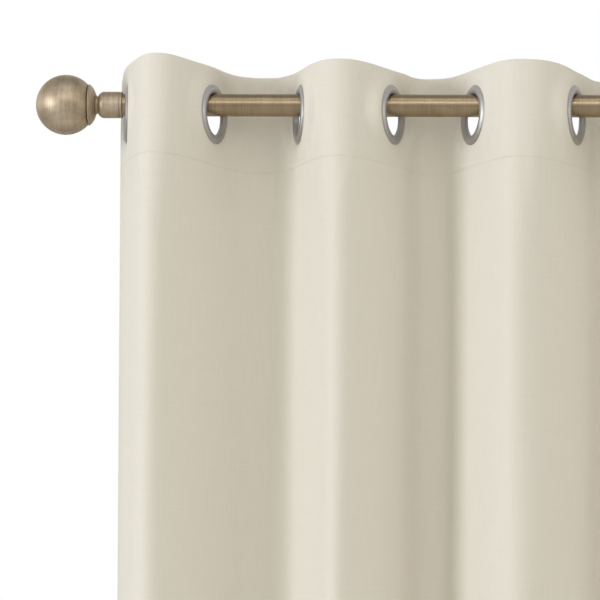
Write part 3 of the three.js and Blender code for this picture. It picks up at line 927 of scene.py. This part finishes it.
def dress_panel(side):
    plan, cloth = build_panel(side)
    cuts = [0.0] + [plan.gu[k] + SQUARE for k in range(1, 7)] + [plan.width]
    front_profile, back_profile = ring_profiles()
    for k in range(8):
        fw = 1 if k % 2 else -1
        # the cloth's own direction at the ring
        a = plan.at(np.array([plan.gu[k] - 12 * MM, plan.gu[k] + 12 * MM]))
        t = a[1] - a[0]
        t = t / np.hypot(*t)
        nrm = Vector((t[1] * plan.m, -t[0], 0.0))
        origin = Vector((plan.m * plan.gx[k], ROD_Y, RING_Z))
        f = turned(f"{side}_grommet_front_{k + 1}", front_profile, origin, nrm, NICKEL, 96, 40)
        b = turned(f"{side}_grommet_back_{k + 1}", back_profile, origin, nrm, NICKEL, 96, 40)
        for o in (f, b):
            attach(o, f"{side}_strip_{k + 1}")
        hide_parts(f"{side}_grommet_{k + 1}")
    for k, ob in enumerate(cloth):
        thread = stitch_mesh(f"{side}_panel_thread_{k + 1}", plan, stitch_runs(plan, cuts[k], cuts[k + 1]))
        a, b = f"{side}_strip_{k + 1}", f"{side}_strip_{k + 2}"
        reach = 34 * MM
        x0 = plan.gx[k] + reach * math.cos(plan.ang[k]) + 3 * MM
        x1 = plan.gx[k + 1] - reach * math.cos(plan.ang[k + 1]) - 3 * MM
        # the direction from start to end leans with the panel's taper at this fold
        lean = SHEAR - TAPER * ((plan.gx[k] + plan.gx[k + 1]) / 2 - plan.mid)  # dx for each metre down
        size = (x1 - x0) / (1 + lean * lean)
        start = Vector((x0, ROD_Y, TOP_Z - 0.05))
        end = start + Vector((size, 0.0, size * lean))
        start.x *= plan.m
        end.x *= plan.m
        for o in (ob, thread):
            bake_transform(o)
        nodes = [f"{side}_curtain_section_{k + 1}"] + ([f"{side}_curtain_section_8"] if k == 6 else [])
        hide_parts(*nodes)
    return plan


PLANS = {side: dress_panel(side) for side in ("left", "right")}

# ---------------------------------------------------------------- rod, caps and finials
AXIS = Vector((0, ROD_Y, ROD_Z))


def tube(name, node, radius, bore, body):
    lo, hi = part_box(node)
    x0, x1 = lo.x, hi.x
    c = 0.45 * MM
    profile = [(bore, x0), (radius - c, x0), (radius - 0.12 * MM, x0 + 0.12 * MM), (radius, x0 + c)]
    n = 60
    profile += [(radius, x0 + c + (x1 - x0 - 2 * c) * i / n) for i in range(1, n)]
    profile += [(radius, x1 - c), (radius - 0.12 * MM, x1 - 0.12 * MM), (radius - c, x1), (bore, x1)]
    ob = turned(name, profile, AXIS, (1, 0, 0), BRASS, 96)
    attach(ob, body)
    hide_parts(node)
    return ob


tube("outer_rod", "outer_rod_tube", ROD_R, 9.85 * MM, "rod")
tube("inner_rod", "inner_rod_tube", INNER_R, 8.5 * MM, "rod_extension")

for side in ("left", "right"):
    s = -1 if side == "left" else 1
    body = "rod" if side == "left" else "rod_extension"
    lo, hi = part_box(f"{side}_end_cap")
    face = hi.x if side == "left" else lo.x  # the cap's inner face
    base = AXIS + Vector((face, 0, 0))
    out = Vector((s, 0, 0))
    bore = (11.3 if side == "left" else 9.8) * MM
    cap = [(bore, 0.0), (12.3, 0.0), (12.95, 0.55), (12.95, 2.1), (12.75, 2.3), (12.35, 2.45), (12.35, 2.9), (12.75, 3.05), (12.95, 3.25), (12.95, 18.2), (12.85, 19.1), (12.5, 20.3), (11.9, 21.4), (11.1, 22.35), (10.2, 23.1), (9.6, 23.5), (9.2, 23.65), (3.3, 23.65), (3.3, 19.7), (bore / MM, 19.7)]
    cap = [(r * MM if r > 0.05 else r, h * MM) for r, h in cap]
    ob = turned(f"{side}_cap", cap, base, out, BRASS_BALL, 112, 40)
    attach(ob, body)
    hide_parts(f"{side}_end_cap")
    flare = [(3.3, 23.9), (8.2, 23.9), (8.35, 24.1), (8.35, 24.9), (8.9, 25.0), (9.25, 25.2), (9.3, 25.5), (9.1, 25.75), (9.15, 25.95), (10.1, 26.2), (12.0, 26.8), (14.2, 27.7), (16.2, 28.8), (17.9, 30.1), (19.2, 31.4), (20.1, 32.5), (20.35, 32.9), (20.35, 33.15), (20.1, 33.3), (3.3, 33.3)]
    ob = turned(f"{side}_finial_cup", [(r * MM, h * MM) for r, h in flare], base, out, BRASS_BALL, 112, 40)
    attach(ob, f"{side}_finial")
    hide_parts(f"{side}_finial_base")
    lo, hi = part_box(f"{side}_finial_ball")
    tip = (lo.x if side == "left" else hi.x)
    far = abs(tip - face)
    R = 29.35 * MM
    centre = far - 0.7 * MM - R
    cut = 33.8 * MM
    a0 = math.acos(max(-1.0, min(1.0, (centre - cut) / R)))
    pts = [(3.3 * MM, cut + 9 * MM), (3.3 * MM, cut), (R * math.sin(a0) - 0.9 * MM, cut), (R * math.sin(a0) - 0.25 * MM, cut + 0.12 * MM)]
    for i in range(49):
        t = a0 + 0.035 + (math.pi - a0 - 0.035) * i / 48
        pts.append((R * math.sin(t) if i < 48 else 0.0, centre - R * math.cos(t)))
    pts.insert(0, (0.0, cut + 9 * MM))
    ob = turned(f"{side}_ball", pts, base, out, BRASS_BALL, 128, 40, closed=False)
    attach(ob, f"{side}_finial")
    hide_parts(f"{side}_finial_ball")
    lo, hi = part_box(f"{side}_finial_stud")
    a, b = sorted((abs(lo.x - face), abs(hi.x - face)))
    thread = [(0.0, a), (2.1 * MM, a), (2.7 * MM, a + 0.6 * MM)]
    h = a + 0.6 * MM
    while h + 0.8 * MM < b - 0.6 * MM:
        thread += [(3.0 * MM, h + 0.4 * MM), (2.55 * MM, h + 0.8 * MM)]
        h += 0.8 * MM
    thread += [(2.7 * MM, b - 0.5 * MM), (2.1 * MM, b), (0.0, b)]
    ob = turned(f"{side}_stud", thread, base, out, BRASS_DARK, 48, 60, closed=False)
    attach(ob, f"{side}_finial")
    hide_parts(f"{side}_finial_stud")

# ---------------------------------------------------------------- brackets


def arc(cx, cy, r, a0, a1, n):
    return [(cx + r * math.cos(a0 + (a1 - a0) * i / n), cy + r * math.sin(a0 + (a1 - a0) * i / n)) for i in range(n + 1)]


def bracket(side):
    lo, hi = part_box(f"{side}_wall_plate")
    x = (lo.x + hi.x) / 2
    w, h, t = (hi.x - lo.x) / 2, (hi.z - lo.z) / 2, 3 * MM
    # wall plate: rounded corners, domed edge
    c = 6 * MM
    outline = []
    for sx, sy, a in ((1, 1, 0), (-1, 1, 90), (-1, -1, 180), (1, -1, 270)):
        outline += arc(sx * (w - c), sy * (h - c), c, math.radians(a), math.radians(a + 90), 10)
    place = Matrix.Translation((x, 0, 0)) @ Matrix.Rotation(math.radians(90), 4, "X")
    plate = extruded(f"{side}_plate", outline, t, place, BRASS_BRACKET, 0.9 * MM, 4)
    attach(plate, "brackets")
    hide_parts(f"{side}_wall_plate")
    # arm and cup, drawn in the plane across the rod: first coordinate to the wall, second up
    r = INNER_R if side == "right" else ROD_R
    inner, outer = r + 0.4 * MM, ROD_R + 3.4 * MM
    rise = 5 * MM
    lip = (outer - inner) / 2
    cup = arc(0, 0, outer, math.pi, 2 * math.pi, 40)
    cup = [(p, q) for p, q in cup]
    cup += arc(outer - lip, rise, lip, 0, math.pi, 8)
    cup += list(reversed(arc(0, 0, inner, math.pi, 2 * math.pi, 40)))
    cup += arc(-outer + lip, rise, lip, 0, math.pi, 8)
    cw = 8 * MM
    place = Matrix.Translation((x - cw / 2, ROD_Y, ROD_Z)) @ Matrix(((0, 0, 1, 0), (1, 0, 0, 0), (0, 1, 0, 0), (0, 0, 0, 1)))
    cup_ob = extruded(f"{side}_cup", cup, cw, place, BRASS_BRACKET, 0.7 * MM, 3)
    za = ROD_Z - 5 * MM
    start = ROD_Y + outer - 1.2 * MM
    ah = 7 * MM
    arm = [(start, za + ah), (start, za - ah), (-1.3 * MM, za - ah), (-1.3 * MM, za + ah)]
    # gently waisted strap
    n = 16
    upper = [(start + (-1.3 * MM - start) * i / n, za + ah - 2.2 * MM * math.sin(math.pi * i / n)) for i in range(n + 1)]
    lower = [(start + (-1.3 * MM - start) * i / n, za - ah + 2.2 * MM * math.sin(math.pi * i / n)) for i in range(n + 1)]
    arm = upper + list(reversed(lower))
    aw = 5 * MM
    place = Matrix.Translation((x - aw / 2, 0, 0)) @ Matrix(((0, 0, 1, 0), (1, 0, 0, 0), (0, 1, 0, 0), (0, 0, 0, 1)))
    arm_ob = extruded(f"{side}_arm", arm, aw, place, BRASS_BRACKET, 0.8 * MM, 3, corner_deg=40)
    for o in (cup_ob, arm_ob):
        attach(o, "brackets")
    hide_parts(f"{side}_bracket_arm")
    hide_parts(f"{side}_bracket_arm")
    # thumb screw: knurled head
    lo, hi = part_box(f"{side}_set_screw")
    top, bottom = hi.z, lo.z
    seat = ROD_Z - outer - 1.6 * MM
    bm = bmesh.new()
    seg = 72
    prof = [(2.0, 0.0), (2.0, top - seat), ]
    ob = turned(f"{side}_set_screw_shank", [(0.0, top), (1.5 * MM, top), (2.0 * MM, top - 0.5 * MM), (2.0 * MM, seat - 0.2 * MM), (0.0, seat - 0.2 * MM)], Vector((x, ROD_Y, 0)), (0, 0, 1), BRASS_DARK, 40, 40, closed=False)
    heads = []
    levels = [(seat, 0.80, 0), (seat - 0.5 * MM, 0.97, 1), (seat - 1.1 * MM, 1.0, 1), (bottom + 1.4 * MM, 1.0, 1), (bottom + 0.7 * MM, 0.97, 1), (bottom + 0.1 * MM, 0.84, 0), (bottom, 0.6, 0)]
    rings = []
    for z, f, k in levels:
        ring = []
        for i in range(seg):
            a = 2 * math.pi * i / seg
            kn = (0.22 * MM if (i % 3 == 0) else 0.0) * k
            rr = 4.6 * MM * f - kn
            ring.append(bm.verts.new((x + rr * math.cos(a), ROD_Y + rr * math.sin(a), z)))
        rings.append(ring)
    for a, b in zip(rings[:-1], rings[1:]):
        for i in range(seg):
            j = (i + 1) % seg
            bm.faces.new((a[i], a[j], b[j], b[i]))
    bm.faces.new(rings[0])
    bm.faces.new(rings[-1])
    bmesh.ops.recalc_face_normals(bm, faces=bm.faces)
    for e in bm.edges:
        if e.calc_face_angle(0) > math.radians(28):
            e.smooth = False
    for f in bm.faces:
        f.smooth = True
    me = bpy.data.meshes.new(f"{side}_set_screw_head")
    bm.to_mesh(me)
    bm.free()
    me.materials.append(BRASS_DARK)
    head = bpy.data.objects.new(f"{side}_set_screw_head", me)
    bpy.context.scene.collection.objects.link(head)
    brushed(head, "z")
    for o in (ob, head):
        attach(o, f"{side}_thumb_screw")
    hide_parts(f"{side}_set_screw")
    # wall screws: domed heads with a cross recess
    for which in ("upper", "lower"):
        node = f"{side}_{which}_wall_screw"
        lo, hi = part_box(node)
        z = (lo.z + hi.z) / 2
        ob = screw_head(f"{side}_{which}_screw", Vector((x, -t, z)))
        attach(ob, "brackets")
        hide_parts(node)


def screw_head(name, at):
    """A pan head that points to -Y, with a cross recess sunk in a fine polar grid, and a short shank behind it."""
    bm = bmesh.new()
    seg, R, H = 64, 4.3 * MM, 2.5 * MM
    radii = [0.0, 0.35, 0.7, 1.05, 1.4, 1.75, 2.1, 2.4, 2.7, 3.0, 3.4, 3.8, 4.1, 4.28]
    rings = []
    for r in radii:
        ring = []
        count = 1 if r == 0 else seg
        for i in range(count):
            a = 2 * math.pi * i / seg
            px, pz = r * math.cos(a), r * math.sin(a)
            dome = 2.5 * math.sqrt(max(0.0, 1 - (r / 4.6) ** 2))
            arm = min(abs(px), abs(pz))
            reach = max(abs(px), abs(pz))
            depth = 0.0
            if arm < 0.5 and reach < 2.3:
                depth = 1.2 * min(1.0, (0.5 - arm) / 0.18) * min(1.0, (2.3 - reach) / 0.4)
            ring.append(bm.verts.new((at.x + px * MM, at.y - (dome - depth) * MM, at.z + pz * MM)))
        rings.append(ring)
    for a, b in zip(rings[:-1], rings[1:]):
        for i in range(seg):
            j = (i + 1) % seg
            if len(a) == 1:
                bm.faces.new((a[0], b[i], b[j]))
            else:
                bm.faces.new((a[i], b[i], b[j], a[j]))
    rim = rings[-1]
    low = [bm.verts.new((at.x + 4.3 * MM * math.cos(2 * math.pi * i / seg), at.y - 0.3 * MM, at.z + 4.3 * MM * math.sin(2 * math.pi * i / seg))) for i in range(seg)]
    neck = [bm.verts.new((at.x + 2.2 * MM * math.cos(2 * math.pi * i / seg), at.y - 0.25 * MM, at.z + 2.2 * MM * math.sin(2 * math.pi * i / seg))) for i in range(seg)]
    foot = [bm.verts.new((at.x + 2.2 * MM * math.cos(2 * math.pi * i / seg), at.y + 2.8 * MM, at.z + 2.2 * MM * math.sin(2 * math.pi * i / seg))) for i in range(seg)]
    for a, b in ((rim, low), (low, neck), (neck, foot)):
        for i in range(seg):
            j = (i + 1) % seg
            bm.faces.new((a[i], b[i], b[j], a[j]))
    bm.faces.new(foot)
    bmesh.ops.recalc_face_normals(bm, faces=bm.faces)
    for e in bm.edges:
        if e.calc_face_angle(0) > math.radians(35):
            e.smooth = False
    for f in bm.faces:
        f.smooth = True
    me = bpy.data.meshes.new(name)
    bm.to_mesh(me)
    bm.free()
    me.materials.append(BRASS_DARK)
    ob = bpy.data.objects.new(name, me)
    bpy.context.scene.collection.objects.link(ob)
    return brushed(ob, "y")


for side in ("left", "centre", "right"):
    bracket(side)

# ---------------------------------------------------------------- floor, light and camera
floor_mat, nt, b = new_material("pale_floor")
tex = nt.nodes.new("ShaderNodeTexCoord")
grain = noise(nt, tex.outputs["Object"], 3.0, 5.0, 0.5)
put(b.inputs["Base Color"], ramp(nt, grain, [(0.3, (0.70, 0.69, 0.67)), (0.7, (0.73, 0.72, 0.70))]))
b.inputs["Roughness"].default_value = 0.8
size = 60
floor = mesh_object("floor", [(-size, -size, -1.9), (size, -size, -1.9), (size, size, -1.9), (-size, size, -1.9)], [(0, 1, 2, 3)], floor_mat, False)


def area_light(name, at, aim, size_x, size_y, power, color=(1, 1, 1)):
    d = bpy.data.lights.new(name, "AREA")
    d.shape = "RECTANGLE"
    d.size, d.size_y = size_x, size_y
    d.energy = power
    d.color = color
    o = bpy.data.objects.new(name, d)
    o.location = at
    o.rotation_mode = "QUATERNION"
    o.rotation_quaternion = (Vector(aim) - Vector(at)).to_track_quat("-Z", "Y")
    bpy.context.scene.collection.objects.link(o)
    return o


def from_direction(azimuth, elevation, distance):
    """A place seen from the rod's left part; azimuth 0 is straight out into the room, positive to the right."""
    a, e = math.radians(azimuth), math.radians(elevation)
    return (-0.35 + distance * math.cos(e) * math.sin(a), -0.09 - distance * math.cos(e) * math.cos(a), -0.1 + distance * math.sin(e))


area_light("key", from_direction(-58.5, 0, 5.2), (-0.35, -0.09, -0.15), 1.5, 2.0, 102, (0.915, 0.98, 1.06))
area_light("fill", from_direction(62, 3, 5.4), (-0.35, -0.09, -0.2), 3.8, 3.0, 27, (1.0, 0.965, 0.90))
strip = area_light("strip", from_direction(2, 22, 5.2), (-0.35, -0.09, 0.0), 2.6, 0.16, 24, (1.0, 0.985, 0.96))
overhead = area_light("overhead", from_direction(0, 56, 5.0), (-0.35, -0.09, 0.0), 3.0, 0.5, 14, (1.0, 0.985, 0.96))
strip.data.use_shadow = overhead.data.use_shadow = False
area_light("spark", from_direction(33, 13, 5.0), (-0.35, -0.09, -0.1), 0.5, 0.5, 4, (1.0, 0.98, 0.95))

world = bpy.data.worlds.new("studio")
bpy.context.scene.world = world
world.use_nodes = True
nt = world.node_tree
for n_ in list(nt.nodes):
    nt.nodes.remove(n_)
out = nt.nodes.new("ShaderNodeOutputWorld")
seen = nt.nodes.new("ShaderNodeBackground")
seen.inputs["Color"].default_value = (1, 1, 1, 1)
seen.inputs["Strength"].default_value = 1.0
lit = nt.nodes.new("ShaderNodeBackground")
coord = nt.nodes.new("ShaderNodeTexCoord")
sep = nt.nodes.new("ShaderNodeSeparateXYZ")
nt.links.new(coord.outputs["Generated"], sep.inputs[0])
fac = math_node(nt, "MULTIPLY_ADD", sep.outputs[2], 0.5, 0.5)
put(lit.inputs["Color"], ramp(nt, fac, [(0.0, (0.40, 0.38, 0.35)), (0.42, (0.46, 0.44, 0.41)), (0.50, (0.90, 0.885, 0.855)), (0.68, (1.0, 0.99, 0.965)), (0.84, (0.86, 0.85, 0.83)), (1.0, (0.46, 0.45, 0.44))]))
lit.inputs["Strength"].default_value = 0.86
path = nt.nodes.new("ShaderNodeLightPath")
mix = nt.nodes.new("ShaderNodeMixShader")
nt.links.new(path.outputs["Is Camera Ray"], mix.inputs[0])
nt.links.new(lit.outputs[0], mix.inputs[1])
nt.links.new(seen.outputs[0], mix.inputs[2])
nt.links.new(mix.outputs[0], out.inputs["Surface"])

cam_data = bpy.data.cameras.new("camera")
cam = bpy.data.objects.new("camera", cam_data)
bpy.context.scene.collection.objects.link(cam)
bpy.context.scene.camera = cam
yaw, pitch, roll = math.radians(3.983), math.radians(11.303), math.radians(1.07)
cam.location = (-0.124, -5.0, -1.162)
F = Vector((-math.sin(yaw) * math.cos(pitch), math.cos(yaw) * math.cos(pitch), math.sin(pitch)))
R = Vector((math.cos(yaw), math.sin(yaw), 0.0))
U = R.cross(F)
R2 = R * math.cos(roll) + U * math.sin(roll)
U2 = U * math.cos(roll) - R * math.sin(roll)
m = Matrix((R2, U2, -F)).transposed()
cam.rotation_mode = "QUATERNION"
cam.rotation_quaternion = m.to_quaternion()
cam_data.sensor_width = 36.0
cam_data.lens = 5193.0 * 36.0 / 600.0
cam_data.clip_end = 200.0
cam_data.dof.use_dof = False

scene = bpy.context.scene
scene.view_settings.view_transform = "Standard"
scene.view_settings.look = "None"
scene.view_settings.exposure = 0.0
scene.view_settings.gamma = 1.0
